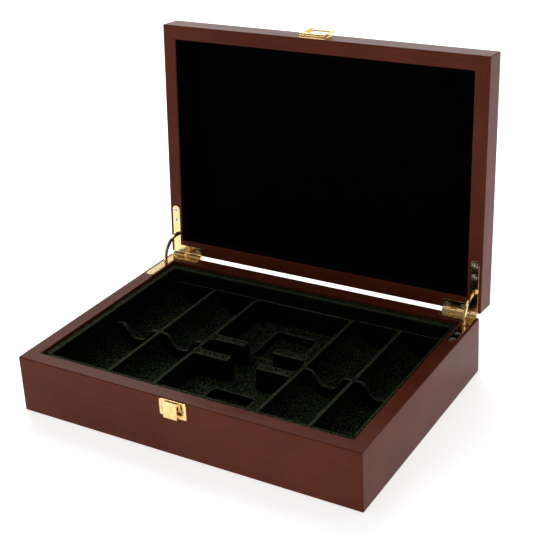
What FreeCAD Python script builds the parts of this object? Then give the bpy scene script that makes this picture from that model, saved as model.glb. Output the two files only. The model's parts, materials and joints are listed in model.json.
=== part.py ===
import FreeCAD, Part
import os
import re

import Sketcher

# A poker chip case: a hinged wooden box with a flocked tray for chips, cards and dice.
# Row frame: origin at the centre of the underside, +X to the right, +Y to the hinges, +Z up, millimetres.
# Every piece is drawn with the lid shut. The pieces of the lid are then swung open about the hinge line.

DIMENSIONS = {
    # wooden case
    "CaseWidth": 300.0,
    "CaseDepth": 210.0,
    "BaseHeight": 48.0,
    "LidHeight": 21.6,
    "RimGap": 0.4,
    "Wall": 12.2,
    "EdgeRound": 0.9,
    "RimRound": 0.8,
    "PanelThick": 3.6,
    "PanelLet": 4.0,
    "PanelFit": 0.1,
    "LiningThick": 2.2,
    "LiningWall": 1.0,
    "LiningLip": 1.0,
    "LiningFit": 0.1,
    # lid hinges: flat leaves let into both rims, with a curved stay
    "LidOpen": 94.1,
    "HingeBack": 1.9,
    "LeafThick": 1.6,
    "LeafLong": 44.5,
    "LeafShort": 29.8,
    "ArmWide": 7.4,
    "LeafIn": 1.7,
    "KnuckleRound": 2.3,
    "KnuckleGap": 0.3,
    "HingePinRound": 0.8,
    "PinPlay": 0.05,
    "StayInner": 17.6,
    "StayOuter": 20.6,
    "StayThick": 1.4,
    "StayTail": 7.6,
    "StayLug": 1.5,
    "StayLugTurn": 2.2,
    "StayPlay": 0.5,
    "MortiseWide": 2.4,
    "MortiseDeep": 20.3,
    "MortiseNear": 9.7,
    # countersunk screws
    "HeadRound": 2.3,
    "HeadDeep": 1.3,
    "ShankRound": 1.1,
    "HingeScrewLong": 9.0,
    "PlateScrewLong": 7.0,
    "CrossLong": 2.6,
    "CrossWide": 0.6,
    "CrossDeep": 0.9,
    "SideScrewNear": 31.0,
    "SideScrewFar": 40.5,
    "RearScrewOuter": 11.8,
    "RearScrewInner": 25.8,
    "RearScrewIn": 3.3,
    # latch on the front: plate and hook on the base, plate and swinging loop on the lid
    "LatchX": -2.9,
    "LatchWide": 23.6,
    "LatchThick": 1.0,
    "CatchHigh": 13.4,
    "CatchDrop": 0.7,
    "CatchCorner": 1.5,
    "FieldWide": 20.0,
    "FieldHigh": 12.0,
    "FieldDeep": 0.35,
    "HookWide": 12.0,
    "HookOut": 4.0,
    "HookHigh": 11.9,
    "HookDrop": 1.5,
    "HookThick": 1.0,
    "HookFlange": 5.0,
    "HookLip": 2.6,
    "HookBend": 0.45,
    "CatchScrewOut": 8.6,
    "RivetRound": 1.0,
    "RivetHead": 1.6,
    "RivetHigh": 0.5,
    "HaspHigh": 14.0,
    "HaspRise": 0.5,
    "HaspOut": 2.6,
    "HaspKnuckle": 1.5,
    "HaspPinRound": 0.6,
    "HaspScrewOut": 8.6,
    "HaspScrewUp": 9.9,
    "LoopSwing": 175.0,
    "LoopWide": 22.0,
    "LoopLong": 19.6,
    "LoopStart": 1.9,
    "LoopThick": 0.9,
    "LoopSkirt": 1.4,
    "SkirtThick": 0.9,
    "LoopNeck": 13.0,
    "WindowWide": 15.0,
    "WindowNear": 3.2,
    "WindowFar": 16.4,
    "LoopCorner": 2.2,
    # flocked tray
    "TrayFit": 0.5,
    "Skin": 1.2,
    "FlangeTop": 45.6,
    "DeckTop": 32.5,
    "WellWide": 266.4,
    "WellDeep": 172.4,
    "ChipRound": 20.6,
    "ChipPitch": 44.0,
    "ChipInnerX": 68.2,
    "ChipEnd": 85.0,
    "CrossWall": 2.4,
    "ScallopDip": 9.5,
    "ScallopRound": 24.8,
    "CardWide": 90.0,
    "CardNear": 17.2,
    "CardFar": 84.2,
    "CardFloor": 12.8,
    "RecessWide": 38.0,
    "RecessDeep": 43.3,
    "RecessFloor": 5.0,
    "DiceWide": 18.0,
    "FingerWide": 26.5,
    "Overshoot": 1.0,
}

# places that several pieces share, as expressions over the dimensions
HINGE_Y = "(CaseDepth / 2 + HingeBack)"
HINGE_Z = "(BaseHeight + RimGap / 2)"
LID_RIM = "(BaseHeight + RimGap)"
LID_TOP = "(BaseHeight + RimGap + LidHeight)"
INNER_X = "(CaseWidth / 2 - Wall)"
INNER_Y = "(CaseDepth / 2 - Wall)"
ARM_EDGE = "(CaseWidth / 2 - EdgeRound - LeafIn)"
ARM_X = "(CaseWidth / 2 - EdgeRound - LeafIn - ArmWide / 2)"
FRONT = "(-CaseDepth / 2)"
PLATE_FACE = "(-CaseDepth / 2 - LatchThick)"
HASP_Y = "(-CaseDepth / 2 - HaspOut)"
HASP_Z = "(BaseHeight + RimGap + HaspRise + HaspKnuckle)"
KNUCKLES = 5
BASE_KNUCKLES = (0, 2, 4)
LID_KNUCKLES = (1, 3)

# limits for telling edges apart: two levels count as the same, a direction counts as along an axis
SAME = 0.01
ALONG = 0.9

SWING_OPEN = ("placement(vector(0; 0; 0); rotation(vector(1; 0; 0); -LidOpen);"
              f" vector(0; {HINGE_Y}; {HINGE_Z}))")
LIFT_LOOP = ("placement(vector(0; 0; 0); rotation(vector(1; 0; 0); -LoopSwing);"
             f" vector(0; {HASP_Y}; {HASP_Z}))")

doc = FreeCAD.newDocument("ChipCase")
dims = doc.addObject("Spreadsheet::Sheet", "Dims")
for row, (alias, number) in enumerate(DIMENSIONS.items(), start=1):
    dims.set(f"A{row}", alias)
    dims.set(f"B{row}", str(number))
    dims.setAlias(f"B{row}", alias)
doc.recompute()


def over_sheet(text):
    """Turn the capitalised words of an expression into references to the sheet."""
    return re.sub(r"\b([A-Z][A-Za-z]+)\b", r"Dims.\1", text)


def value(text):
    """The number that an expression over the dimensions has now."""
    return dims.evalExpression(over_sheet(text))


def bind(item, **sizes):
    for name, text in sizes.items():
        item.setExpression(name, over_sheet(text))


def place(item, x="0", y="0", z="0"):
    for letter, text in zip("xyz", (x, y, z)):
        item.setExpression(f"Placement.Base.{letter}", over_sheet(text))


def box(name, size, corner):
    item = doc.addObject("Part::Box", name)
    bind(item, Length=size[0], Width=size[1], Height=size[2])
    place(item, *corner)
    return item


TURN_TO_AXIS = {
    "X": FreeCAD.Rotation(FreeCAD.Vector(0, 1, 0), 90),
    "Y": FreeCAD.Rotation(FreeCAD.Vector(1, 0, 0), -90),
    "Z": FreeCAD.Rotation(),
}


def rod(name, radius, length, start, axis):
    """A cylinder that runs from start along +axis."""
    item = doc.addObject("Part::Cylinder", name)
    item.Placement.Rotation = TURN_TO_AXIS[axis]
    bind(item, Radius=radius, Height=length)
    place(item, *start)
    return item


def fuse(name, items):
    item = doc.addObject("Part::MultiFuse", name)
    item.Shapes = items
    item.Refine = True
    return item


def group(name, items):
    item = doc.addObject("Part::Compound", name)
    item.Links = items
    return item


def cut(name, base, tools):
    item = doc.addObject("Part::Cut", name)
    item.Base = base
    item.Tool = tools[0] if len(tools) == 1 else fuse(name + "_tools", tools)
    return item


def shared(name, one, other):
    item = doc.addObject("Part::Common", name)
    item.Base = one
    item.Tool = other
    return item


def mirrored(name, source):
    """The left-hand twin of a right-hand piece."""
    item = doc.addObject("Part::Mirroring", name)
    item.Source = source
    item.Normal = (1, 0, 0)
    return item


def swung(name, source, text):
    """A piece that is drawn shut, placed where it lies with the lid open."""
    item = group(name + "_open", [source])
    item.setExpression("Placement", over_sheet(text))
    return item


def origin_plane(body, role):
    return next(item for item in body.Origin.OriginFeatures if item.Role == role)


def outline(body, role, points):
    """A closed sketch of straight lines whose corners are bound to the sheet."""
    sketch = body.newObject("Sketcher::SketchObject", body.Name + "_outline")
    sketch.AttachmentSupport = [(origin_plane(body, role), "")]
    sketch.MapMode = "FlatFace"
    corners = [FreeCAD.Vector(value(across), value(up), 0) for across, up in points]
    for corner, following in zip(corners, corners[1:] + corners[:1]):
        sketch.addGeometry(Part.LineSegment(corner, following))
    for line in range(len(points)):
        sketch.addConstraint(Sketcher.Constraint("Coincident", line, 2, (line + 1) % len(points), 1))
    for line, corner in enumerate(points):
        for kind, text in zip(("DistanceX", "DistanceY"), corner):
            index = sketch.addConstraint(Sketcher.Constraint(kind, -1, 1, line, 1, value(text)))
            sketch.setExpression(f"Constraints[{index}]", over_sheet(text))
    return sketch


def padded(name, role, points, length, midplane=False):
    """A body padded from a straight-sided outline."""
    body = doc.addObject("PartDesign::Body", name)
    pad = body.newObject("PartDesign::Pad", name + "_pad")
    pad.Profile = outline(body, role, points)
    pad.Midplane = midplane
    bind(pad, Length=length)
    doc.recompute()
    return body


def edges_where(item, wanted):
    """The names of the item's edges whose centre and direction pass a test."""
    names = []
    for number, edge in enumerate(item.Shape.Edges, start=1):
        if edge.Degenerated:
            continue
        middle = edge.CenterOfMass
        along = edge.tangentAt(edge.FirstParameter)
        if wanted(middle, along):
            names.append(f"Edge{number}")
    return names


def rounded(body, radius, wanted):
    """Add a fillet to a body's tip, on the edges that pass a test."""
    tip = body.Tip
    fillet = body.newObject("PartDesign::Fillet", body.Name + "_round")
    fillet.Base = (tip, edges_where(tip, wanted))
    bind(fillet, Radius=radius)
    doc.recompute()
    return fillet


# ---------------------------------------------------------------- wooden case

def hollow_block(name, height, floor, rim, rabbet_floor):
    """A box with eased edges, hollowed right through, with a rabbet for its panel."""
    body = doc.addObject("PartDesign::Body", name)
    block = body.newObject("PartDesign::AdditiveBox", name + "_block")
    bind(block, Length="CaseWidth", Width="CaseDepth", Height=height)
    place(block, "-CaseWidth / 2", "-CaseDepth / 2", floor)
    doc.recompute()
    rounded(body, "EdgeRound", lambda middle, along: True)
    cavity = body.newObject("PartDesign::SubtractiveBox", name + "_cavity")
    bind(cavity, Length=f"2 * {INNER_X}", Width=f"2 * {INNER_Y}", Height=height)
    place(cavity, f"-{INNER_X}", f"-{INNER_Y}", floor)
    rabbet = body.newObject("PartDesign::SubtractiveBox", name + "_rabbet")
    bind(rabbet, Length=f"2 * ({INNER_X} + PanelLet)", Width=f"2 * ({INNER_Y} + PanelLet)",
         Height="PanelThick")
    place(rabbet, f"-({INNER_X} + PanelLet)", f"-({INNER_Y} + PanelLet)", rabbet_floor)
    doc.recompute()
    rounded(body, "RimRound", lambda middle, along: on_inner_edge(middle, value(rim)))
    return body


def on_inner_edge(point, rim):
    """Whether a point lies on the inner edge of the rim."""
    inside = abs(point.x) < value(INNER_X) + SAME and abs(point.y) < value(INNER_Y) + SAME
    return inside and abs(point.z - rim) < SAME


def mitre_wedge(name, points):
    """The share of the case's plan that belongs to one rail, cut at 45 degrees at its ends."""
    return padded(name, "XY_Plane", points, LID_TOP)


def mitre_wedges():
    half_x = "CaseWidth / 2"
    half_y = "CaseDepth / 2"
    heart = "(CaseWidth / 2 - CaseDepth / 2)"
    front = mitre_wedge("front_wedge", [(f"-{half_x}", f"-{half_y}"), (half_x, f"-{half_y}"),
                                        (heart, "0"), (f"-{heart}", "0")])
    back = mitre_wedge("back_wedge", [(half_x, half_y), (f"-{half_x}", half_y),
                                      (f"-{heart}", "0"), (heart, "0")])
    right = mitre_wedge("right_wedge", [(half_x, f"-{half_y}"), (half_x, half_y), (heart, "0")])
    return {"front": front, "back": back, "right": right}


def panel(name, floor):
    half_x = f"({INNER_X} + PanelLet - PanelFit)"
    half_y = f"({INNER_Y} + PanelLet - PanelFit)"
    return box(name, (f"2 * {half_x}", f"2 * {half_y}", "PanelThick"), (f"-{half_x}", f"-{half_y}", floor))


def rails(prefix, block, wedges, leaf_blank, mortise, side_screws, back_screws, front_screws):
    """Four mitred rails of one half of the case, with the seats of its fittings cut out."""
    raw = {side: shared(f"{prefix}_{side}_raw", block, wedge) for side, wedge in wedges.items()}
    left_blank = mirrored(f"{prefix}_left_blank", leaf_blank)
    left_screws = [mirrored(screw.Name + "_left", screw) for screw in back_screws]
    front = cut(f"{prefix}_front_rail", raw["front"], front_screws)
    back = cut(f"{prefix}_back_rail", raw["back"], [leaf_blank, left_blank] + back_screws + left_screws)
    right = cut(f"{prefix}_right_rail", raw["right"], [leaf_blank, mortise] + side_screws + back_screws)
    left = mirrored(f"{prefix}_left_rail", right)
    return [front, back, right, left]


# ---------------------------------------------------------------- screws

def screw(name, length, x, y, z, turn):
    """A countersunk cross-head screw and the seat it fills. Unturned, it points down from z."""
    head = doc.addObject("Part::Cone", name + "_head")
    bind(head, Radius1="ShankRound", Radius2="HeadRound", Height="HeadDeep")
    place(head, z="-HeadDeep")
    shank = rod(name + "_shank", "ShankRound", f"{length} - HeadDeep", ("0", "0", f"-({length})"), "Z")
    solid = fuse(name + "_solid", [head, shank])
    slots = [box(f"{name}_slot_{wide}", (wide, deep, "CrossDeep"),
                 (f"-{wide} / 2", f"-{deep} / 2", "-CrossDeep"))
             for wide, deep in (("CrossLong", "CrossWide"), ("CrossWide", "CrossLong"))]
    driven = cut(name, solid, slots)
    seat = group(name + "_seat", [solid])
    for item in (driven, seat):
        item.Placement.Rotation = FreeCAD.Rotation(FreeCAD.Vector(1, 0, 0), turn)
        place(item, x, y, z)
    return driven, seat


DOWN = 0
UP = 180
BACKWARD = 90


def hinge_screws(prefix, face, turn):
    """The four screws of one right-hand leaf, as the screws and the holes that they fill."""
    side = [screw(f"{prefix}_{along}", "HingeScrewLong", ARM_X, f"CaseDepth / 2 - {along}", face, turn)
            for along in ("SideScrewNear", "SideScrewFar")]
    rear = [screw(f"{prefix}_{inward}", "HingeScrewLong", f"{ARM_EDGE} - {inward}",
                  "CaseDepth / 2 - RearScrewIn", face, turn)
            for inward in ("RearScrewOuter", "RearScrewInner")]
    return side, rear


def both_sides(name, screws):
    """One node with the right-hand screws and their left-hand twins."""
    return group(name, screws + [mirrored(item.Name + "_twin", item) for item in screws])


# ---------------------------------------------------------------- lid hinges

def leaf_blank(prefix, underside):
    """The L-shaped outline of a right-hand leaf, which is also its seat in the wood."""
    arm_end = "(CaseDepth / 2 - LeafLong + ArmWide / 2)"
    arm = box(prefix + "_arm", ("ArmWide", f"CaseDepth / 2 - {arm_end}", "LeafThick"),
              (f"{ARM_X} - ArmWide / 2", arm_end, underside))
    tip = rod(prefix + "_tip", "ArmWide / 2", "LeafThick", (ARM_X, arm_end, underside), "Z")
    rear = box(prefix + "_rear", ("LeafShort", "ArmWide", "LeafThick"),
               (f"{ARM_EDGE} - LeafShort", "CaseDepth / 2 - ArmWide", underside))
    return fuse(prefix + "_blank", [arm, tip, rear])


def right_leaf(name, blank, underside, indices, hole_play, holes):
    """A leaf with its own share of the knuckles, the slot for the stay, and its screw holes."""
    pieces = []
    notches = []
    pitch = f"(LeafShort / {KNUCKLES})"
    for index in range(KNUCKLES):
        start = f"{ARM_EDGE} - LeafShort + {index} * {pitch}"
        if index in indices:
            length = f"({pitch} - KnuckleGap)"
            start += " + KnuckleGap / 2"
            pieces.append(rod(f"{name}_knuckle_{index}", "KnuckleRound", length,
                              (start, HINGE_Y, HINGE_Z), "X"))
            pieces.append(box(f"{name}_web_{index}", (length, "HingeBack", "LeafThick"),
                              (start, "CaseDepth / 2", underside)))
        else:
            notches.append(rod(f"{name}_notch_{index}", "KnuckleRound + KnuckleGap", pitch,
                               (start, HINGE_Y, HINGE_Z), "X"))
    solid = fuse(name + "_solid", pieces + [cut(name + "_sheet", blank, notches)])
    bore = rod(name + "_bore", f"HingePinRound + {hole_play}", "LeafShort",
               (f"{ARM_EDGE} - LeafShort", HINGE_Y, HINGE_Z), "X")
    slot = box(name + "_slot",
               ("StayThick + 2 * StayPlay", "StayOuter - StayInner + 2 * StayPlay", "2 * LeafThick"),
               (f"{ARM_X} - StayThick / 2 - StayPlay", f"{HINGE_Y} - StayOuter - StayPlay",
                f"{underside} - LeafThick / 2"))
    return cut(name, solid, [bore, slot] + holes)


def hinge_pin(name):
    return rod(name, "HingePinRound", "LeafShort", (f"{ARM_EDGE} - LeafShort", HINGE_Y, HINGE_Z), "X")


def ring_sector(name, inner, outer, span, start_turn):
    """A flat ring sector about local Z, which starts at start_turn from local X."""
    outside = doc.addObject("Part::Cylinder", name + "_outside")
    bind(outside, Radius=outer, Height="StayThick", Angle=span)
    inside = doc.addObject("Part::Cylinder", name + "_inside")
    bind(inside, Radius=inner, Height="StayThick", Angle="360")
    item = cut(name, outside, [inside])
    item.Placement.Rotation = FreeCAD.Rotation(FreeCAD.Vector(0, 0, 1), 1)
    bind(item, **{"Placement.Rotation.Angle": start_turn})
    return item


def right_stay(name):
    """The curved stay, drawn where it lies with the lid open, with a stop lug at each end."""
    span = "(LidOpen + 2 * StayTail)"
    strip = ring_sector(name + "_strip", "StayInner", "StayOuter", span, "0")
    lugs = [ring_sector(f"{name}_lug_{end}", "StayInner", "StayOuter + StayLug", "StayLugTurn", turn)
            for end, turn in (("lid", "0"), ("base", f"{span} - StayLugTurn"))]
    stay = fuse(name, [strip] + lugs)
    stay.setExpression("Placement", over_sheet(
        f"placement(vector({ARM_X} - StayThick / 2; {HINGE_Y}; {HINGE_Z});"
        " rotation(vector(1; 0; 0); 270 - LidOpen - StayTail) * rotation(vector(0; 1; 0); 90))"))
    return stay


def mortise(name, floor):
    """The slot in a side rail that the stay slides into."""
    reach = "(StayOuter + StayLug + StayPlay)"
    return box(name, ("MortiseWide", f"{reach} - MortiseNear", "MortiseDeep"),
               (f"{ARM_X} - MortiseWide / 2", f"{HINGE_Y} - {reach}", floor))


# ---------------------------------------------------------------- latch

CATCH_TOP = "(BaseHeight - CatchDrop)"
CATCH_MIDDLE = "(BaseHeight - CatchDrop - CatchHigh / 2)"
HOOK_TOP = "(BaseHeight - HookDrop)"
RIVET_Z = "(BaseHeight - HookDrop - HookThick - HookFlange / 2)"
SIDES = {"left": "-", "right": "+"}


def front_plate(name, height, bottom, wanted):
    """A thin plate on the front face, with the corners that pass a test rounded."""
    body = doc.addObject("PartDesign::Body", name)
    plate = body.newObject("PartDesign::AdditiveBox", name + "_sheet")
    bind(plate, Length="LatchWide", Width="LatchThick", Height=height)
    place(plate, "LatchX - LatchWide / 2", PLATE_FACE, bottom)
    doc.recompute()
    rounded(body, "CatchCorner", lambda middle, along: abs(along.y) > ALONG and wanted(middle))
    return body


def catch_plate(screw_seats, rivet):
    """The plate on the base, with a shallow oval field pressed into its face."""
    sheet = front_plate("catch_sheet", "CatchHigh", f"{CATCH_TOP} - CatchHigh", lambda middle: True)
    straight = "(FieldWide - FieldHigh)"
    ends = [rod(f"field_end_{end}", "FieldHigh / 2", "2 * FieldDeep",
                (f"LatchX {sign} {straight} / 2", f"{PLATE_FACE} - FieldDeep", CATCH_MIDDLE), "Y")
            for end, sign in SIDES.items()]
    middle = box("field_middle", (straight, "2 * FieldDeep", "FieldHigh"),
                 (f"LatchX - {straight} / 2", f"{PLATE_FACE} - FieldDeep", f"{CATCH_MIDDLE} - FieldHigh / 2"))
    return cut("catch_plate", sheet, ends + [middle, rivet] + screw_seats)


def catch_hook(rivet):
    """A bent strip: a flange on the plate, a shelf, a square face, and a lip that the loop goes under."""
    root = f"{PLATE_FACE} + FieldDeep"
    face = f"{PLATE_FACE} - HookOut"
    points = [
        (root, HOOK_TOP),
        (face, HOOK_TOP),
        (face, f"{HOOK_TOP} - HookHigh"),
        (f"{face} + HookLip", f"{HOOK_TOP} - HookHigh"),
        (f"{face} + HookLip", f"{HOOK_TOP} - HookHigh + HookThick"),
        (f"{face} + HookThick", f"{HOOK_TOP} - HookHigh + HookThick"),
        (f"{face} + HookThick", f"{HOOK_TOP} - HookThick"),
        (f"{root} - HookThick", f"{HOOK_TOP} - HookThick"),
        (f"{root} - HookThick", f"{HOOK_TOP} - HookThick - HookFlange"),
        (root, f"{HOOK_TOP} - HookThick - HookFlange"),
    ]
    strip = padded("hook_strip", "YZ_Plane", points, "HookWide", midplane=True)
    front = value(face)
    rounded(strip, "HookBend", lambda middle, along: abs(along.x) > ALONG and middle.y < front + SAME)
    place(strip, x="LatchX")
    return cut("catch_hook", strip, [rivet])


def catch_rivet():
    outer = f"{PLATE_FACE} + FieldDeep - HookThick"
    shank = rod("rivet_shank", "RivetRound", f"{FRONT} - ({outer})", ("LatchX", outer, RIVET_Z), "Y")
    head = rod("rivet_head", "RivetHead", "RivetHigh", ("LatchX", f"{outer} - RivetHigh", RIVET_Z), "Y")
    return fuse("catch_rivet", [shank, head])


def hasp_plate(screw_seats):
    """The plate on the lid, with a knuckle at each side for the loop's pin."""
    bottom = f"{HASP_Z} - HaspKnuckle"
    sheet = front_plate("hasp_sheet", "HaspHigh", bottom, lambda middle: middle.z > value(HASP_Z))
    side = "((LatchWide - LoopNeck) / 2 - 2 * KnuckleGap)"
    pieces = [sheet]
    for end, start in (("left", "LatchX - LatchWide / 2"), ("right", f"LatchX + LatchWide / 2 - {side}")):
        pieces.append(rod(f"hasp_knuckle_{end}", "HaspKnuckle", side, (start, HASP_Y, HASP_Z), "X"))
        pieces.append(box(f"hasp_web_{end}", (side, "HaspOut - LatchThick", "HaspKnuckle"),
                          (start, HASP_Y, HASP_Z)))
    bore = rod("hasp_bore", "HaspPinRound", "LatchWide", ("LatchX - LatchWide / 2", HASP_Y, HASP_Z), "X")
    return cut("hasp_plate", fuse("hasp_solid", pieces), [bore] + screw_seats)


def hasp_pin():
    return rod("hasp_pin", "HaspPinRound", "LatchWide", ("LatchX - LatchWide / 2", HASP_Y, HASP_Z), "X")


def loop_box(name, inset, near, far, outer_face, depth):
    """A box of the loop between two distances from its pin, inset from both sides."""
    return box(name, (f"LoopWide - 2 * {inset}", depth, f"{far} - {near}"),
               (f"LatchX - LoopWide / 2 + {inset}", outer_face, f"{HASP_Z} - {far}"))


def hasp_loop():
    """The loop, drawn latched: a skirted frame that hangs from its pin, its window around the hook."""
    outer_face = f"({HASP_Y} - HaspKnuckle)"
    body = doc.addObject("PartDesign::Body", "loop_frame")
    frame = body.newObject("PartDesign::AdditiveBox", "loop_block")
    bind(frame, Length="LoopWide", Width="LoopThick + LoopSkirt", Height="LoopLong - LoopStart")
    place(frame, "LatchX - LoopWide / 2", outer_face, f"{HASP_Z} - LoopLong")
    doc.recompute()
    rounded(body, "LoopCorner", lambda middle, along: abs(along.y) > ALONG)
    hollow = loop_box("loop_hollow", "SkirtThick", "0", "LoopLong - SkirtThick", f"{outer_face} + LoopThick",
                      "2 * LoopSkirt")
    dish = cut("loop_dish", body, [hollow])
    neck = box("loop_neck", ("LoopNeck", "LoopThick", "WindowNear"),
               ("LatchX - LoopNeck / 2", outer_face, f"{HASP_Z} - WindowNear"))
    knuckle = rod("loop_knuckle", "HaspKnuckle", "LoopNeck", ("LatchX - LoopNeck / 2", HASP_Y, HASP_Z), "X")
    window = box("loop_window", ("WindowWide", "2 * LoopThick", "WindowFar - WindowNear"),
                 ("LatchX - WindowWide / 2", f"{outer_face} - LoopThick / 2", f"{HASP_Z} - WindowFar"))
    bore = rod("loop_bore", "HaspPinRound + PinPlay", "LoopNeck",
               ("LatchX - LoopNeck / 2", HASP_Y, HASP_Z), "X")
    return cut("hasp_loop", fuse("loop_solid", [dish, neck, knuckle]), [window, bore])


# ---------------------------------------------------------------- flocked tray

def centred_box(name, wide, deep, middle_y, floor, top, grow):
    """A box about x = 0 that is grown sideways and downwards by an amount."""
    return box(name, (f"{wide} + 2 * {grow}", f"{deep} + 2 * {grow}", f"{top} - ({floor}) + {grow}"),
               (f"-({wide}) / 2 - {grow}", f"{middle_y} - ({deep}) / 2 - {grow}", f"({floor}) - {grow}"))


def chip_trough(name, x, start_y, top, grow):
    """One half-round trough along y, with straight sides up to a level."""
    length = f"(ChipEnd - CrossWall / 2 + 2 * {grow})"
    radius = f"(ChipRound + {grow})"
    barrel = rod(name + "_barrel", radius, length, (x, f"{start_y} - {grow}", "DeckTop"), "Y")
    lower = box(name + "_lower", (f"2 * {radius}", length, radius),
                (f"{x} - {radius}", f"{start_y} - {grow}", f"DeckTop - {radius}"))
    half = shared(name + "_half", barrel, lower)
    if top == "DeckTop":
        return [half]
    sides = box(name + "_sides", (f"2 * {radius}", length, f"{top} - DeckTop"),
                (f"{x} - {radius}", f"{start_y} - {grow}", "DeckTop"))
    return [half, sides]


def tray_forms(kind, grow, top):
    """Every hollow of the tray, grown by an amount, up to a level."""
    forms = []
    columns = ("-ChipInnerX - ChipPitch", "-ChipInnerX", "ChipInnerX", "ChipInnerX + ChipPitch")
    for column, x in enumerate(columns):
        for end, start_y in (("front", "-ChipEnd"), ("back", "CrossWall / 2")):
            forms += chip_trough(f"{kind}_chip_{column}_{end}", x, start_y, top, grow)
    card_deep = "(CardFar - CardNear)"
    partition = "(CardNear - DiceWide / 2)"
    for end, sign in (("front", "-"), ("back", "")):
        card_y = f"{sign}(CardFar + CardNear) / 2"
        gap_y = f"{sign}(CardNear + DiceWide / 2) / 2"
        forms.append(centred_box(f"{kind}_card_{end}", "CardWide", card_deep, card_y, "CardFloor", top, grow))
        forms.append(centred_box(f"{kind}_recess_{end}", "RecessWide", "RecessDeep", card_y, "RecessFloor",
                                 "CardFloor + Overshoot", grow))
        forms.append(centred_box(f"{kind}_finger_{end}", "FingerWide", f"{partition} + Overshoot", gap_y,
                                 "CardFloor", top, grow))
    forms.append(centred_box(f"{kind}_dice", "CardWide", "DiceWide", "0", "CardFloor", top, grow))
    return forms


def scallops():
    """The dips in the wall between the front and back chips of each column."""
    centre_z = "DeckTop + ScallopRound - ScallopDip"
    length = "(CrossWall + 2 * Overshoot)"
    return [rod(f"scallop_{column}", "ScallopRound", length, (x, f"-{length} / 2", centre_z), "Y")
            for column, x in enumerate(("-ChipInnerX - ChipPitch", "-ChipInnerX",
                                        "ChipInnerX", "ChipInnerX + ChipPitch"))]


def tray():
    """A thin formed sheet: the hollows grown by the skin, less the hollows themselves."""
    flange = centred_box("tray_flange", f"2 * ({INNER_X} - TrayFit)", f"2 * ({INNER_Y} - TrayFit)", "0",
                         "FlangeTop - Skin", "FlangeTop", "0")
    well_skin = centred_box("tray_well_skin", "WellWide", "WellDeep", "0", "DeckTop", "FlangeTop", "Skin")
    well = centred_box("tray_well", "WellWide", "WellDeep", "0", "DeckTop", "FlangeTop + Overshoot", "0")
    outside = fuse("tray_outside", [flange, well_skin] + tray_forms("skin", "Skin", "DeckTop"))
    inside = fuse("tray_inside", [well] + tray_forms("hollow", "0", "DeckTop + Overshoot") + scallops())
    return cut("tray", outside, [inside])


def lid_lining():
    """A thin tray of velvet-covered board that lines the lid's walls and panel."""
    panel_face = f"({LID_TOP} - PanelThick)"
    mouth = f"({LID_RIM} + LiningLip)"
    wide = f"(2 * ({INNER_X} - LiningFit))"
    deep = f"(2 * ({INNER_Y} - LiningFit))"
    block = centred_box("lining_block", wide, deep, "0", mouth, panel_face, "0")
    hollow = centred_box("lining_hollow", f"{wide} - 2 * LiningWall", f"{deep} - 2 * LiningWall", "0", mouth,
                         f"({panel_face} - LiningThick)", "0")
    return cut("lid_lining", block, [hollow])


# ---------------------------------------------------------------- assembly

def base_half(wedges):
    block = hollow_block("base_block", "BaseHeight", "0", "BaseHeight", "0")
    leaf_floor = "(BaseHeight - LeafThick)"
    blank = leaf_blank("base_leaf", leaf_floor)
    side, rear = hinge_screws("base", "BaseHeight", DOWN)
    seats = [seat for item, seat in side + rear]
    leaf = right_leaf("right_base_leaf", blank, leaf_floor, BASE_KNUCKLES, "0", seats)
    pin = hinge_pin("right_hinge_pin")
    rivet = catch_rivet()
    catch_screws = [screw(f"{end}_catch_screw", "PlateScrewLong", f"LatchX {sign} CatchScrewOut",
                          f"{PLATE_FACE} + FieldDeep", CATCH_MIDDLE, BACKWARD)
                    for end, sign in SIDES.items()]
    catch_seats = [seat for item, seat in catch_screws]
    wood = rails("base", block, wedges, blank, mortise("base_mortise", "BaseHeight - MortiseDeep"),
                 [seat for item, seat in side], [seat for item, seat in rear], catch_seats)
    return wood + [
        panel("base_panel", "0"),
        tray(),
        leaf,
        mirrored("left_base_leaf", leaf),
        pin,
        mirrored("left_hinge_pin", pin),
        both_sides("base_hinge_screws", [item for item, seat in side + rear]),
        catch_plate(catch_seats, rivet),
        catch_hook(rivet),
        rivet,
        group("catch_screws", [item for item, seat in catch_screws]),
    ]


def lid_half(wedges):
    block = hollow_block("lid_block", "LidHeight", LID_RIM, LID_RIM, f"{LID_TOP} - PanelThick")
    blank = leaf_blank("lid_leaf", LID_RIM)
    side, rear = hinge_screws("lid", LID_RIM, UP)
    seats = [seat for item, seat in side + rear]
    leaf = right_leaf("right_lid_leaf", blank, LID_RIM, LID_KNUCKLES, "PinPlay", seats)
    hasp_screws = [screw(f"{end}_hasp_screw", "PlateScrewLong", f"LatchX {sign} HaspScrewOut", PLATE_FACE,
                         f"{HASP_Z} + HaspScrewUp - HaspKnuckle", BACKWARD)
                   for end, sign in SIDES.items()]
    hasp_seats = [seat for item, seat in hasp_screws]
    wood = rails("lid", block, wedges, blank, mortise("lid_mortise", LID_RIM),
                 [seat for item, seat in side], [seat for item, seat in rear], hasp_seats)
    pieces = wood + [
        panel("lid_panel", f"{LID_TOP} - PanelThick"),
        lid_lining(),
        leaf,
        mirrored("left_lid_leaf", leaf),
        both_sides("lid_hinge_screws", [item for item, seat in side + rear]),
        hasp_plate(hasp_seats),
        hasp_pin(),
        group("hasp_screws", [item for item, seat in hasp_screws]),
    ]
    return [swung(item.Name, item, SWING_OPEN) for item in pieces]


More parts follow.
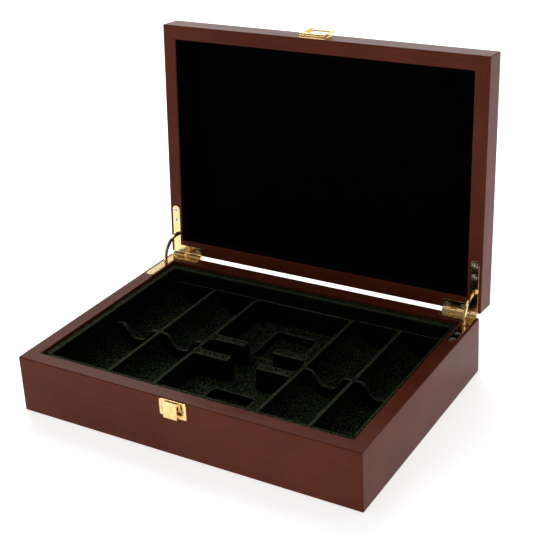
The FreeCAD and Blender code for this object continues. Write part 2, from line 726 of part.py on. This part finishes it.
def main():
    wedges = mitre_wedges()
    nodes = {item.Name: item for item in base_half(wedges)}
    stay = right_stay("right_stay")
    nodes["right_stay"] = stay
    nodes["left_stay"] = mirrored("left_stay", stay)
    for item in lid_half(wedges):
        nodes[item.Name.replace("_open", "")] = item
    nodes["hasp_loop"] = swung("hasp_loop", hasp_loop(), f"{SWING_OPEN} * {LIFT_LOOP}")
    doc.recompute()
    check_document()
    os.makedirs("parts", exist_ok=True)
    for label, item in nodes.items():
        check_shape(label, item.Shape)
        item.Label = label
        item.Shape.exportStep(f"parts/{label}.step")


def check_document():
    for item in doc.Objects:
        if "Invalid" in item.State or "Error" in item.State:
            raise RuntimeError(f"{item.Name} did not recompute: {item.State}")


def check_shape(label, shape):
    if shape.isNull() or not shape.isValid() or not shape.Solids:
        raise RuntimeError(f"{label} is not a valid solid")
    print(f"{label}: {len(shape.Solids)} solid(s), {shape.Volume:.1f} mm3")


main()
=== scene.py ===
import json
from math import cos, pi, radians, sin

import bpy
import numpy as np
from mathutils import Matrix, Vector


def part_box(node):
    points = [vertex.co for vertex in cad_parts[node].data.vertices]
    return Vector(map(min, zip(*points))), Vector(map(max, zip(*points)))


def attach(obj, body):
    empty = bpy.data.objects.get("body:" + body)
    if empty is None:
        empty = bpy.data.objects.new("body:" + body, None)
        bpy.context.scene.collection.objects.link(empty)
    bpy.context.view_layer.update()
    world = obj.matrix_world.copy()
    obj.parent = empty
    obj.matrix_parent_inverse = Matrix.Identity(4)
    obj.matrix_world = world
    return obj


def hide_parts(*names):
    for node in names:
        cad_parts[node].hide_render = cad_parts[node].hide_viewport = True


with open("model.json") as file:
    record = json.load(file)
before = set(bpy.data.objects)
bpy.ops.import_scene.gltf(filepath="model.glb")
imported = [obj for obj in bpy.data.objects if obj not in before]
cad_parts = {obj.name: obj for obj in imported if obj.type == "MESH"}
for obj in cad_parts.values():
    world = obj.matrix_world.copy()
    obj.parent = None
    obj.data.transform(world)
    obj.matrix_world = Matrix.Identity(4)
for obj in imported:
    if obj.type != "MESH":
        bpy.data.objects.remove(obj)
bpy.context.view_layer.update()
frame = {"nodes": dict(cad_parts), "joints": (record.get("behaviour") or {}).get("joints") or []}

# Looks of the poker chip case. Lengths are in metres, and MM turns millimetres into them.
# The row frame: +X right, +Y to the hinges, +Z up, origin at the centre of the underside.
# The pieces of the lid are made shut, and then swung open about the hinge line as the frame's lid is.

MM = 0.001
scene = bpy.context.scene
nodes = frame["nodes"]
joints = {joint["name"]: joint for joint in frame["joints"]}

LID_OPEN = radians(joints["lid_hinge"]["range_deg"][1])
HINGE_LINE = Vector(joints["lid_hinge"]["pos_m"])


def swing(angle):
    """The turn that opens the lid by an angle about the hinge line."""
    there = Matrix.Translation(HINGE_LINE)
    return there @ Matrix.Rotation(-angle, 4, "X") @ there.inverted()


# ---------------------------------------------------------------- camera, light and floor

AIM = Vector((25.65, -5.0, 186.5)) * MM
AZIMUTH = radians(31.81)
ELEVATION = radians(21.35)
ROLL = radians(-3.25)
DISTANCE = 902.0 * MM
LENS = 82.7
SENSOR_WIDTH = 36.0
SHIFT_UP = -0.16

# The studio is a pale cove: its walls glow near the horizon, brightest behind the case, and its roof is dark.
ROOF = 0.06
WALL_FRONT = 0.20
WALL_BACK = 1.60
WAY_BACK = (-0.45, 0.89, 0.0)
WALL_TURN = 0.7
GLOW_LOW = 0.20
GLOW_HIGH = 0.80
FLOOR_GLOW = 0.72
FLOOR_HALF = 4.0
FLOOR_LEVEL = -0.1 * MM
FLOOR_SHADES = (0.86, 0.86, 0.86), (0.9, 0.9, 0.9)

# Each light's name, place, size and power.
LIGHTS = (
    ("back_box", (-0.8, 1.1, 1.6), (1.4, 1.0), 24.0),
    ("roof_box", (0.0, -0.3, 1.8), (1.2, 1.0), 3.2),
)
LIGHTS_AIM = (0.0, 0.0, 0.1)


def make_camera():
    """The camera at the photograph's viewing angle, which is turned a little about its own axis."""
    data = bpy.data.cameras.new("camera")
    data.lens = LENS
    data.sensor_width = SENSOR_WIDTH
    data.shift_y = SHIFT_UP
    camera = bpy.data.objects.new("camera", data)
    back = Vector((sin(AZIMUTH) * cos(ELEVATION), -cos(AZIMUTH) * cos(ELEVATION), sin(ELEVATION)))
    right = Vector((cos(AZIMUTH), sin(AZIMUTH), 0.0))
    up = back.cross(right)
    turned_right = right * cos(ROLL) + up * sin(ROLL)
    turned_up = up * cos(ROLL) - right * sin(ROLL)
    turn = Matrix((turned_right, turned_up, back)).transposed().to_4x4()
    camera.matrix_world = Matrix.Translation(AIM + back * DISTANCE) @ turn
    scene.collection.objects.link(camera)
    scene.camera = camera


def area_light(name, place, size, power):
    data = bpy.data.lights.new(name, "AREA")
    data.shape = "RECTANGLE"
    data.size, data.size_y = size
    data.energy = power
    lamp = bpy.data.objects.new(name, data)
    direction = Vector(LIGHTS_AIM) - Vector(place)
    lamp.matrix_world = Matrix.Translation(place) @ direction.to_track_quat("-Z", "Y").to_matrix().to_4x4()
    scene.collection.objects.link(lamp)


def make_world():
    """A surround that glows near the horizon, more behind the case than in front of it."""
    world = bpy.data.worlds.new("studio")
    scene.world = world
    world.use_nodes = True
    tree = world.node_tree
    tree.nodes.clear()
    way = tree.nodes.new("ShaderNodeTexCoord").outputs["Generated"]
    parts = tree.nodes.new("ShaderNodeSeparateXYZ")
    tree.links.new(way, parts.inputs[0])
    behind = tree.nodes.new("ShaderNodeVectorMath")
    behind.operation = "DOT_PRODUCT"
    behind.inputs[1].default_value = WAY_BACK
    tree.links.new(way, behind.inputs[0])
    wall = spread(tree, behind.outputs["Value"], WALL_FRONT, WALL_BACK, -WALL_TURN, WALL_TURN)
    height = arithmetic(tree, "ABSOLUTE", parts.outputs["Z"], 0.0)
    low = spread(tree, height, 1.0, 0.0, GLOW_LOW, GLOW_HIGH)
    background = tree.nodes.new("ShaderNodeBackground")
    tree.links.new(arithmetic(tree, "ADD", arithmetic(tree, "MULTIPLY", wall, low), ROOF),
                   background.inputs["Strength"])
    output = tree.nodes.new("ShaderNodeOutputWorld")
    tree.links.new(background.outputs["Background"], output.inputs["Surface"])


def make_floor():
    """A wide pale table, lit a little from within as a light table is."""
    mesh = bpy.data.meshes.new("floor")
    corners = [(x * FLOOR_HALF, y * FLOOR_HALF, FLOOR_LEVEL) for x, y in ((-1, -1), (1, -1), (1, 1), (-1, 1))]
    mesh.from_pydata(corners, [], [(0, 1, 2, 3)])
    floor = bpy.data.objects.new("floor", mesh)
    scene.collection.objects.link(floor)
    material, shader, tree = new_material("pale_floor")
    shader.inputs["Roughness"].default_value = 0.8
    shader.inputs["Specular IOR Level"].default_value = 0.1
    shader.inputs["Emission Color"].default_value = (1.0, 1.0, 1.0, 1.0)
    shader.inputs["Emission Strength"].default_value = FLOOR_GLOW
    grain = noise(tree, object_point(tree), 900.0, 2.0)
    tree.links.new(ramp(tree, grain, *FLOOR_SHADES), shader.inputs["Base Color"])
    mesh.materials.append(material)


# ---------------------------------------------------------------- material nodes

# where a colour Mix node keeps its factor, its two colours and its result
MIX_FACTOR = 0
MIX_FIRST = 6
MIX_SECOND = 7
MIX_RESULT = 2


def new_material(name):
    material = bpy.data.materials.new(name)
    material.use_nodes = True
    tree = material.node_tree
    return material, tree.nodes["Principled BSDF"], tree


def object_point(tree, turn=0.0, stretch=(1.0, 1.0, 1.0)):
    """Object coordinates turned about X, then stretched."""
    coordinates = tree.nodes.new("ShaderNodeTexCoord")
    turned = tree.nodes.new("ShaderNodeMapping")
    turned.vector_type = "POINT"
    turned.inputs["Rotation"].default_value = (turn, 0.0, 0.0)
    tree.links.new(coordinates.outputs["Object"], turned.inputs["Vector"])
    scaled = tree.nodes.new("ShaderNodeVectorMath")
    scaled.operation = "MULTIPLY"
    scaled.inputs[1].default_value = stretch
    tree.links.new(turned.outputs["Vector"], scaled.inputs[0])
    return scaled.outputs["Vector"]


def noise(tree, point, scale, detail, roughness=0.5, distortion=0.0):
    item = tree.nodes.new("ShaderNodeTexNoise")
    item.inputs["Scale"].default_value = scale
    item.inputs["Detail"].default_value = detail
    item.inputs["Roughness"].default_value = roughness
    item.inputs["Distortion"].default_value = distortion
    tree.links.new(point, item.inputs["Vector"])
    return item.outputs["Fac"]


def spread(tree, value, low, high, from_low=0.3, from_high=0.7):
    """A value's range from_low to from_high, mapped to low to high and held there."""
    item = tree.nodes.new("ShaderNodeMapRange")
    item.inputs["From Min"].default_value = from_low
    item.inputs["From Max"].default_value = from_high
    item.inputs["To Min"].default_value = low
    item.inputs["To Max"].default_value = high
    tree.links.new(value, item.inputs["Value"])
    return item.outputs["Result"]


def ramp(tree, value, dark, light, from_low=0.3, from_high=0.7):
    """A colour between dark and light, by a value."""
    item = tree.nodes.new("ShaderNodeMix")
    item.data_type = "RGBA"
    item.inputs[MIX_FIRST].default_value = (*dark, 1.0)
    item.inputs[MIX_SECOND].default_value = (*light, 1.0)
    tree.links.new(spread(tree, value, 0.0, 1.0, from_low, from_high), item.inputs[MIX_FACTOR])
    return item.outputs[MIX_RESULT]


def colour_of(tree, colour):
    item = tree.nodes.new("ShaderNodeRGB")
    item.outputs[0].default_value = (*colour, 1.0)
    return item.outputs[0]


def blend_colours(tree, factor, one, other):
    item = tree.nodes.new("ShaderNodeMix")
    item.data_type = "RGBA"
    tree.links.new(factor, item.inputs[MIX_FACTOR])
    tree.links.new(one, item.inputs[MIX_FIRST])
    tree.links.new(other, item.inputs[MIX_SECOND])
    return item.outputs[MIX_RESULT]


def arithmetic(tree, operation, one, other):
    item = tree.nodes.new("ShaderNodeMath")
    item.operation = operation
    for socket, value in zip(item.inputs, (one, other)):
        if isinstance(value, float):
            socket.default_value = value
        else:
            tree.links.new(value, socket)
    return item.outputs["Value"]


def bump(tree, height, distance, strength, shader):
    item = tree.nodes.new("ShaderNodeBump")
    item.inputs["Strength"].default_value = strength
    item.inputs["Distance"].default_value = distance
    tree.links.new(height, item.inputs["Height"])
    tree.links.new(item.outputs["Normal"], shader.inputs["Normal"])
    return item


# ---------------------------------------------------------------- materials

STAIN_DARK = (0.106, 0.0185, 0.0075)
STAIN_LIGHT = (0.158, 0.0330, 0.0145)
PORE = (0.070, 0.0115, 0.0045)
GRAIN_DRAWN = 0.10


def stained_wood(name, along, turn):
    """Mahogany stain under satin lacquer, with its grain along X or Y of the case shut."""
    material, shader, tree = new_material(name)
    stretch = (GRAIN_DRAWN, 1.0, 1.0) if along == "X" else (1.0, GRAIN_DRAWN, 1.0)
    grain_point = object_point(tree, turn, stretch)
    mottle = noise(tree, object_point(tree, turn), 22.0, 3.0)
    figure = noise(tree, grain_point, 160.0, 4.0, 0.6, 0.4)
    pores = noise(tree, grain_point, 1500.0, 2.0, 0.6)
    fleck = noise(tree, object_point(tree, turn), 900.0, 1.0)
    tone = arithmetic(tree, "ADD", arithmetic(tree, "MULTIPLY", mottle, 0.50),
                      arithmetic(tree, "ADD", arithmetic(tree, "MULTIPLY", figure, 0.20),
                                 arithmetic(tree, "MULTIPLY", fleck, 0.30)))
    colour = ramp(tree, tone, STAIN_DARK, STAIN_LIGHT, 0.36, 0.64)
    colour = blend_colours(tree, spread(tree, pores, 0.0, 0.20, 0.56, 0.72), colour, colour_of(tree, PORE))
    tree.links.new(colour, shader.inputs["Base Color"])
    tree.links.new(spread(tree, figure, 0.27, 0.36), shader.inputs["Roughness"])
    shader.inputs["Specular IOR Level"].default_value = 0.09
    height = arithmetic(tree, "SUBTRACT", arithmetic(tree, "MULTIPLY", figure, 0.5), pores)
    bump(tree, height, 0.04 * MM, 0.20, shader)
    return material


EASED_EDGE = 0.35 * MM


def gold(name, dark, light, rough):
    """Polished brass plate, a little uneven, with faint handling marks."""
    material, shader, tree = new_material(name)
    shader.inputs["Metallic"].default_value = 1.0
    cloud = noise(tree, object_point(tree), 260.0, 3.0)
    swell = noise(tree, object_point(tree), 90.0, 1.0)
    rub = noise(tree, object_point(tree, 0.0, (1.0, 0.2, 0.2)), 3200.0, 2.0)
    tree.links.new(ramp(tree, cloud, dark, light), shader.inputs["Base Color"])
    tree.links.new(spread(tree, rub, rough * 0.75, rough * 1.3), shader.inputs["Roughness"])
    swelled = bump(tree, swell, 0.5 * MM, 0.35, shader)
    eased = tree.nodes.new("ShaderNodeBevel")
    eased.samples = 6
    eased.inputs["Radius"].default_value = EASED_EDGE
    tree.links.new(eased.outputs["Normal"], swelled.inputs["Normal"])
    return material


# The painted shade on a steep wall, as a share of the pile's lit colour; the part of a floor's painted light
# that a wall across X keeps; and the band of noise over which a fibre goes from dark to lit.
WALL_SHADE_SHARE = 0.15
SIDE_SHARE = 0.05
LIT_FROM = 0.47
LIT_TO = 0.60


def levelness(tree):
    """How much light is painted into the pile by which way a face turns: 1 on a floor, less on a wall across
    X, least on a wall across Y.
    """
    turned = tree.nodes.new("ShaderNodeVectorTransform")
    turned.vector_type = "NORMAL"
    turned.convert_from = "WORLD"
    turned.convert_to = "OBJECT"
    tree.links.new(tree.nodes.new("ShaderNodeNewGeometry").outputs["True Normal"], turned.inputs[0])
    parts = tree.nodes.new("ShaderNodeSeparateXYZ")
    tree.links.new(turned.outputs[0], parts.inputs[0])
    up = arithmetic(tree, "POWER", arithmetic(tree, "ABSOLUTE", parts.outputs["Z"], 0.0), 2.0)
    side = arithmetic(tree, "POWER", arithmetic(tree, "ABSOLUTE", parts.outputs["X"], 0.0), 2.0)
    facing_light = arithmetic(tree, "ADD", up, arithmetic(tree, "MULTIPLY", side, SIDE_SHARE))
    return arithmetic(tree, "POWER", facing_light, 0.5)


def velvet(name, dark, light, warm, rubbed_highlight, sheen, tint, pile):
    """Short flock or velvet: near black, with a fine pile, painted shade on steep walls, and paler crests
    that are partly wear and partly a painted highlight.
    """
    material, shader, tree = new_material(name)
    point = object_point(tree)
    fibre = noise(tree, point, 1.0 / pile, 1.0, 0.8)
    nap = noise(tree, point, 55.0, 3.0)
    tone = arithmetic(tree, "ADD", arithmetic(tree, "MULTIPLY", fibre, 0.85),
                      arithmetic(tree, "MULTIPLY", nap, 0.15))
    hue = ramp(tree, noise(tree, point, 0.6 / pile, 0.0), light, warm, 0.45, 0.55)
    lit = spread(tree, tone, 0.0, 1.0, LIT_FROM, LIT_TO)
    pile_colour = blend_colours(tree, lit, colour_of(tree, dark), hue)
    # The pile's colour with painted shade, used on steep walls.
    shaded_wall_colour = ramp(tree, tone, dark, tuple(channel * WALL_SHADE_SHARE for channel in light), LIT_FROM, LIT_TO)
    rubbed_highlight_colour = ramp(tree, tone, light, rubbed_highlight, 0.30, 0.58)
    # Faces that turn up get the lit pile colour; steep walls get the painted shade, darkest where they face
    # along Y.
    level = levelness(tree)
    colour = blend_colours(tree, level, shaded_wall_colour, pile_colour)
    # Crests are paler, partly as edge wear and partly as a painted highlight, and only on faces turned up or
    # across X.
    crest = tree.nodes.new("ShaderNodeAttribute")
    crest.attribute_name = "crest"
    upper = spread(tree, level, 0.0, 1.0, 0.25, 0.75)
    rubbed_highlight_part = arithmetic(tree, "MULTIPLY", crest.outputs["Fac"], upper)
    colour = blend_colours(tree, rubbed_highlight_part, colour, rubbed_highlight_colour)
    tree.links.new(colour, shader.inputs["Base Color"])
    tree.links.new(spread(tree, nap, 0.85, 1.0), shader.inputs["Roughness"])
    shader.inputs["Specular IOR Level"].default_value = 0.03
    shader.inputs["Sheen Weight"].default_value = sheen
    shader.inputs["Sheen Roughness"].default_value = 0.45
    shader.inputs["Sheen Tint"].default_value = (*tint, 1.0)
    bump(tree, fibre, 0.30 * MM, 0.5, shader)
    return material


def dress(material, *names):
    for name in names:
        for slot in nodes[name].material_slots:
            slot.material = material


# ---------------------------------------------------------------- formed sheets

DRAFT = 0.06
ROUND_SHARE = 0.45
ARC_STEPS = 4
WALL_STEPS = 4
CREST_REACH = 0.5 * MM
CREST_FULL = 0.8
QUARTER_TURNS = np.linspace(0.0, pi / 2, ARC_STEPS + 1)


def arc_radii(depth, top, foot):
    """A wall's edge and foot radii, made smaller where the wall is too low for them."""
    return min(top, ROUND_SHARE * depth), min(foot, ROUND_SHARE * depth)


def sunk(inside, depth, top, foot):
    """How far a drafted wall has dropped, at a distance inside its line, on its way down to a depth."""
    top = np.minimum(top, ROUND_SHARE * depth)
    foot = np.minimum(foot, ROUND_SHARE * depth)
    run = DRAFT * (depth - top - foot)
    over_edge = np.clip(inside + top, 0.0, top)
    into_foot = np.clip(run + foot - inside, 0.0, foot)
    edge = top - np.sqrt(np.maximum(top ** 2 - over_edge ** 2, 0.0))
    fillet = depth - foot + np.sqrt(np.maximum(foot ** 2 - into_foot ** 2, 0.0))
    drop = np.where(inside < 0.0, edge, np.minimum(top + inside / DRAFT, fillet))
    return np.where(inside <= -top, 0.0, np.where(inside >= run + foot, depth, np.minimum(drop, depth)))


def wall_lines(wall, side, depth, top, foot):
    """Grid lines where a wall's profile bends. side is the way from the wall into the hollow."""
    top, foot = arc_radii(depth, top, foot)
    run = DRAFT * (depth - top - foot)
    steps = np.concatenate([-top + top * np.sin(QUARTER_TURNS), np.linspace(0.0, run, WALL_STEPS + 1),
                            run + foot - foot * np.cos(QUARTER_TURNS)])
    return list(wall + side * steps)


def fill_lines(lines, widest, nearest=0.14 * MM):
    """Sorted grid lines with near twins dropped and wide gaps divided."""
    kept = []
    for line in sorted(lines):
        if not kept or line - kept[-1] > nearest:
            kept.append(line)
    filled = [kept[0]]
    for line in kept[1:]:
        count = int(np.ceil((line - filled[-1]) / widest))
        filled.extend(np.linspace(filled[-1], line, count + 1)[1:])
    return np.array(filled)


def rectangle_depth(x, y, middle, half, corner):
    """Distance inside a rectangle with rounded corners, negative outside it."""
    over_x = np.abs(x - middle[0]) - half[0] + corner
    over_y = np.abs(y - middle[1]) - half[1] + corner
    outside = np.hypot(np.maximum(over_x, 0.0), np.maximum(over_y, 0.0))
    return corner - outside - np.minimum(np.maximum(over_x, over_y), 0.0)


def joined(one, other, reach):
    """The greater of two distances, with the crease between them rounded over a reach."""
    share = np.maximum(reach - np.abs(one - other), 0.0) / reach
    return np.maximum(one, other) + share ** 2 * reach / 4.0


def wander(x, y, size, wave):
    """A gentle unevenness made of a few crossed waves."""
    return size * (np.sin(x / wave + 0.7) * np.cos(y / (0.8 * wave) - 1.1)
                   + 0.6 * np.sin((x + y) / (0.55 * wave) + 2.3) * np.cos((x - 1.4 * y) / (0.7 * wave)))


def crest_of(lines_x, lines_y, heights):
    """How sharply a grid of heights bends over outwards, from 0 to 1."""
    bend = np.zeros_like(heights)
    for lines, rows in ((lines_x, heights), (lines_y, heights.T)):
        before = np.array([np.interp(lines - CREST_REACH, lines, row) for row in rows])
        after = np.array([np.interp(lines + CREST_REACH, lines, row) for row in rows])
        drop = rows - (before + after) / 2
        bend = np.maximum(bend, drop if lines is lines_x else drop.T)
    return np.clip(bend / (CREST_FULL * CREST_REACH), 0.0, 1.0)


def sheet_mesh(name, lines_x, lines_y, heights, thick):
    """A closed thin shell under a grid of heights, which keeps how crested each point is."""
    across, along = len(lines_x), len(lines_y)
    grid_x, grid_y = np.meshgrid(lines_x, lines_y)
    points = np.stack([grid_x.ravel(), grid_y.ravel(), heights.ravel()], axis=1)
    corner = np.arange(across - 1)[None, :] + across * np.arange(along - 1)[:, None]
    faces = np.stack([corner, corner + 1, corner + across + 1, corner + across], axis=2).reshape(-1, 4)
    mesh = bpy.data.meshes.new(name)
    mesh.from_pydata(points.tolist(), [], faces.tolist())
    crests = crest_of(lines_x, lines_y, heights)
    mesh.attributes.new("crest", "FLOAT", "POINT").data.foreach_set("value", crests.ravel())
    item = bpy.data.objects.new(name, mesh)
    scene.collection.objects.link(item)
    shell = item.modifiers.new("thickness", "SOLIDIFY")
    shell.thickness = thick
    shell.offset = -1.0
    settle(item)
    return item


def settle(item):
    """Apply an object's modifiers and shade it smooth."""
    graph = bpy.context.evaluated_depsgraph_get()
    mesh = bpy.data.meshes.new_from_object(item.evaluated_get(graph))
    item.modifiers.clear()
    item.data = mesh
    for face in mesh.polygons:
        face.use_smooth = True


# ---------------------------------------------------------------- flocked tray

FLANGE_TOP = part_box("tray")[1].z - 0.2 * MM
DECK_TOP = 32.5 * MM
CARD_FLOOR = 12.8 * MM
RECESS_FLOOR = 5.0 * MM
WELL_HALF = (133.2 * MM, 86.2 * MM)
CHIP_ROUND = 20.6 * MM
CHIP_INNER_X = 68.2 * MM
CHIP_PITCH = 44.0 * MM
CHIP_END = 85.0 * MM
CROSS_HALF = 1.5 * MM
SCALLOP_HALF = 16.0 * MM
SCALLOP_FLAT = 4.0 * MM
SCALLOP_DIP = 11.5 * MM
CARD_HALF_X = 45.0 * MM
CARD_NEAR = 17.2 * MM
CARD_FAR = 84.2 * MM
DICE_HALF_Y = 9.0 * MM
FINGER_HALF_X = 13.25 * MM
RECESS_HALF = (19.0 * MM, 21.65 * MM)
EDGE_ROUND = 0.9 * MM
FOOT_ROUND = 1.3 * MM
FLANGE_ROUND = 1.6 * MM
PLAN_ROUND = 3.0 * MM
DICE_ROUND = 6.0 * MM
WELL_FOOT = 0.5 * MM
END_LIP = 0.3 * MM
GAP_PAST = 5.0 * MM
GAP_CORNER = 0.1 * MM
BLEND_REACH = 2.0 * MM
SHEET_THICK = 0.9 * MM
FLOCK = 1.5 * MM
TRAY_GRID = 3.0 * MM


def tray_heights(x, y):
    """The height of the tray's flocked face at each point of a grid."""
    well = sunk(rectangle_depth(x, y, (0.0, 0.0), WELL_HALF, PLAN_ROUND), FLANGE_TOP - DECK_TOP,
                FLANGE_ROUND, WELL_FOOT)
    hollow = np.zeros_like(x)
    for centre in (-CHIP_INNER_X - CHIP_PITCH, -CHIP_INNER_X, CHIP_INNER_X, CHIP_INNER_X + CHIP_PITCH):
        hollow = np.maximum(hollow, chip_depth(x - centre, y))
    hollow = np.maximum(hollow, pocket_depth(x, y))
    return FLANGE_TOP - well - hollow + wander(x, y, 0.10 * MM, 23.0 * MM)


def chip_depth(x, y):
    """Depth of one column below the deck: a half-round trough, parted at its middle by a scalloped wall."""
    trough = np.sqrt(np.maximum(CHIP_ROUND ** 2 - x ** 2, 0.0))
    beyond = np.clip(CHIP_ROUND + EDGE_ROUND - np.abs(x), 0.0, EDGE_ROUND)
    lip = EDGE_ROUND - np.sqrt(np.maximum(EDGE_ROUND ** 2 - beyond ** 2, 0.0))
    trough = np.where(trough > EDGE_ROUND, trough, lip)
    far = sunk(CHIP_END - np.abs(y), trough, END_LIP, FOOT_ROUND)
    near = sunk(np.abs(y) - CROSS_HALF, trough, EDGE_ROUND, FOOT_ROUND)
    dip = scallop_depth(x)
    crest = dip + near * np.maximum(trough - dip, 0.0) / np.maximum(trough, 1e-6)
    return np.minimum(far, np.minimum(trough, crest))


def scallop_depth(x):
    """How far the cross wall's top dips below the deck: level shoulders, then a wave down to mid-trough."""
    across = np.clip((np.abs(x) - SCALLOP_FLAT) / (SCALLOP_HALF - SCALLOP_FLAT), 0.0, 1.0)
    return SCALLOP_DIP * (1.0 + np.cos(pi * across)) / 2


def pocket_depth(x, y):
    """Depth below the deck of the card pockets, the dice channel and the gaps that join them."""
    card_middle = (CARD_FAR + CARD_NEAR) / 2
    card_half = (CARD_HALF_X, (CARD_FAR - CARD_NEAR) / 2)
    plan = rectangle_depth(x, y, (0.0, 0.0), (CARD_HALF_X, DICE_HALF_Y), DICE_ROUND)
    gap = rectangle_depth(x, y, (0.0, 0.0), (FINGER_HALF_X, CARD_NEAR + GAP_PAST), GAP_CORNER)
    plan = joined(plan, gap, BLEND_REACH)
    recess = np.full_like(x, -1.0)
    for side in (-1.0, 1.0):
        middle = (0.0, side * card_middle)
        plan = joined(plan, rectangle_depth(x, y, middle, card_half, PLAN_ROUND), BLEND_REACH)
        recess = np.maximum(recess, rectangle_depth(x, y, middle, RECESS_HALF, PLAN_ROUND))
    return (sunk(plan, DECK_TOP - CARD_FLOOR, EDGE_ROUND, FOOT_ROUND)
            + sunk(recess, CARD_FLOOR - RECESS_FLOOR, EDGE_ROUND, FOOT_ROUND))


def tray_lines():
    """Grid lines across and along the tray, close together where a wall bends."""
    low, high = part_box("tray")
    deep = DECK_TOP - CARD_FLOOR
    shallow = CARD_FLOOR - RECESS_FLOOR
    turns = np.radians(np.linspace(-82.5, 82.5, 23))
    lines_x = [low.x, high.x, 0.0]
    lines_y = [low.y, high.y, 0.0]
    for side in (-1.0, 1.0):
        lines_x += wall_lines(side * WELL_HALF[0], -side, FLANGE_TOP - DECK_TOP, FLANGE_ROUND, WELL_FOOT)
        lines_y += wall_lines(side * WELL_HALF[1], -side, FLANGE_TOP - DECK_TOP, FLANGE_ROUND, WELL_FOOT)
        lines_x += wall_lines(side * CARD_HALF_X, -side, deep, EDGE_ROUND, FOOT_ROUND)
        lines_x += wall_lines(side * FINGER_HALF_X, -side, deep, EDGE_ROUND, FOOT_ROUND)
        lines_x += wall_lines(side * RECESS_HALF[0], -side, shallow, EDGE_ROUND, FOOT_ROUND)
        lines_y += wall_lines(side * CARD_FAR, -side, deep, EDGE_ROUND, FOOT_ROUND)
        lines_y += wall_lines(side * CARD_NEAR, side, deep, EDGE_ROUND, FOOT_ROUND)
        lines_y += wall_lines(side * DICE_HALF_Y, -side, deep, EDGE_ROUND, FOOT_ROUND)
        lines_y += wall_lines(side * CROSS_HALF, side, CHIP_ROUND, EDGE_ROUND, FOOT_ROUND)
        lines_y += wall_lines(side * CHIP_END, -side, CHIP_ROUND, END_LIP, FOOT_ROUND)
        for end in (-1.0, 1.0):
            middle = side * (CARD_FAR + CARD_NEAR) / 2
            lines_y += wall_lines(middle + end * RECESS_HALF[1], -end, shallow, EDGE_ROUND, FOOT_ROUND)
        for centre in (CHIP_INNER_X, CHIP_INNER_X + CHIP_PITCH):
            lines_x += list(side * centre + CHIP_ROUND * np.sin(turns))
            for end in (-1.0, 1.0):
                edge = side * centre + end * CHIP_ROUND
                lines_x += list(edge + end * EDGE_ROUND * (1.0 - np.sin(QUARTER_TURNS)))
    return fill_lines(lines_x, TRAY_GRID), fill_lines(lines_y, TRAY_GRID)


def make_tray():
    lines_x, lines_y = tray_lines()
    heights = tray_heights(*np.meshgrid(lines_x, lines_y))
    tray = sheet_mesh("flocked_tray", lines_x, lines_y, heights, SHEET_THICK)
    tray.data.materials.append(velvet("flock", (0.0005, 0.0012, 0.0005), (0.0300, 0.0620, 0.0280),
                                      (0.0600, 0.0560, 0.0240), (0.110, 0.130, 0.065), 0.02,
                                      (0.62, 0.75, 0.50), FLOCK))
    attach(tray, "base")
    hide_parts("tray")


# ---------------------------------------------------------------- velvet lining of the lid

LINING_HALF = (137.65 * MM, 92.65 * MM)
LINING_WALL = 0.95 * MM
LINING_MOUTH = 49.4 * MM
LINING_FACE = 64.2 * MM
LINING_LIP = 0.45 * MM
LINING_FOOT = 3.0 * MM
LINING_CORNER = 1.2 * MM
LINING_CROWN = 0.5 * MM
LINING_GRID = 4.0 * MM
CROWN_REACH = 30.0 * MM
LINING_THICK = 0.85 * MM


def make_lining():
    """A shallow velvet-covered tray: its walls stand against the rails, its floor against the panel."""
    depth = LINING_FACE - LINING_MOUTH
    lines_x, lines_y = [0.0], [0.0]
    for side in (-1.0, 1.0):
        for lines, half in ((lines_x, LINING_HALF[0]), (lines_y, LINING_HALF[1])):
            lines.append(side * half)
            lines += wall_lines(side * (half - LINING_WALL), -side, depth, LINING_LIP, LINING_FOOT)
    lines_x = fill_lines(lines_x, LINING_GRID)
    lines_y = fill_lines(lines_y, LINING_GRID)
    x, y = np.meshgrid(lines_x, lines_y)
    half = (LINING_HALF[0] - LINING_WALL, LINING_HALF[1] - LINING_WALL)
    inside = rectangle_depth(x, y, (0.0, 0.0), half, LINING_CORNER)
    drop = sunk(inside, depth, LINING_LIP, LINING_FOOT)
    crown = LINING_CROWN * np.clip(inside / CROWN_REACH, 0.0, 1.0) ** 2
    crown = crown + wander(x, y, 0.10 * MM, 31.0 * MM)
    heights = -(LINING_MOUTH + drop - np.where(inside > LINING_FOOT, crown, 0.0))
    lining = sheet_mesh("velvet_lining", lines_x, lines_y, heights, LINING_THICK)
    lining.data.transform(swing(LID_OPEN) @ Matrix.Rotation(pi, 4, "X"))
    lining.data.materials.append(velvet("velvet", (0.0001, 0.0002, 0.0001), (0.0010, 0.0016, 0.0010),
                                        (0.0014, 0.0014, 0.0010), (0.003, 0.004, 0.003), 0.01,
                                        (0.7, 0.8, 0.7), 0.5 * MM))
    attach(lining, "lid")
    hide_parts("lid_lining")


# ---------------------------------------------------------------- scene

def dress_case():
    for half, turn in (("base", 0.0), ("lid", LID_OPEN)):
        long_grain = stained_wood(f"{half}_stain_along", "X", turn)
        cross_grain = stained_wood(f"{half}_stain_across", "Y", turn)
        dress(long_grain, f"{half}_front_rail", f"{half}_back_rail", f"{half}_panel")
        dress(cross_grain, f"{half}_left_rail", f"{half}_right_rail")
    plate = gold("gold_plate", (0.90, 0.58, 0.22), (1.0, 0.76, 0.38), 0.13)
    screws = gold("gold_screws", (0.62, 0.52, 0.36), (0.95, 0.90, 0.78), 0.16)
    dress(plate, "right_base_leaf", "left_base_leaf", "right_lid_leaf", "left_lid_leaf", "right_hinge_pin",
          "left_hinge_pin", "right_stay", "left_stay", "catch_plate", "catch_hook", "catch_rivet",
          "hasp_plate", "hasp_pin", "hasp_loop")
    dress(screws, "base_hinge_screws", "lid_hinge_screws", "catch_screws", "hasp_screws")


def light_studio():
    for light in LIGHTS:
        area_light(*light)
    scene.view_settings.view_transform = "Standard"


make_camera()
make_world()
make_floor()
light_studio()
dress_case()
make_tray()
make_lining()
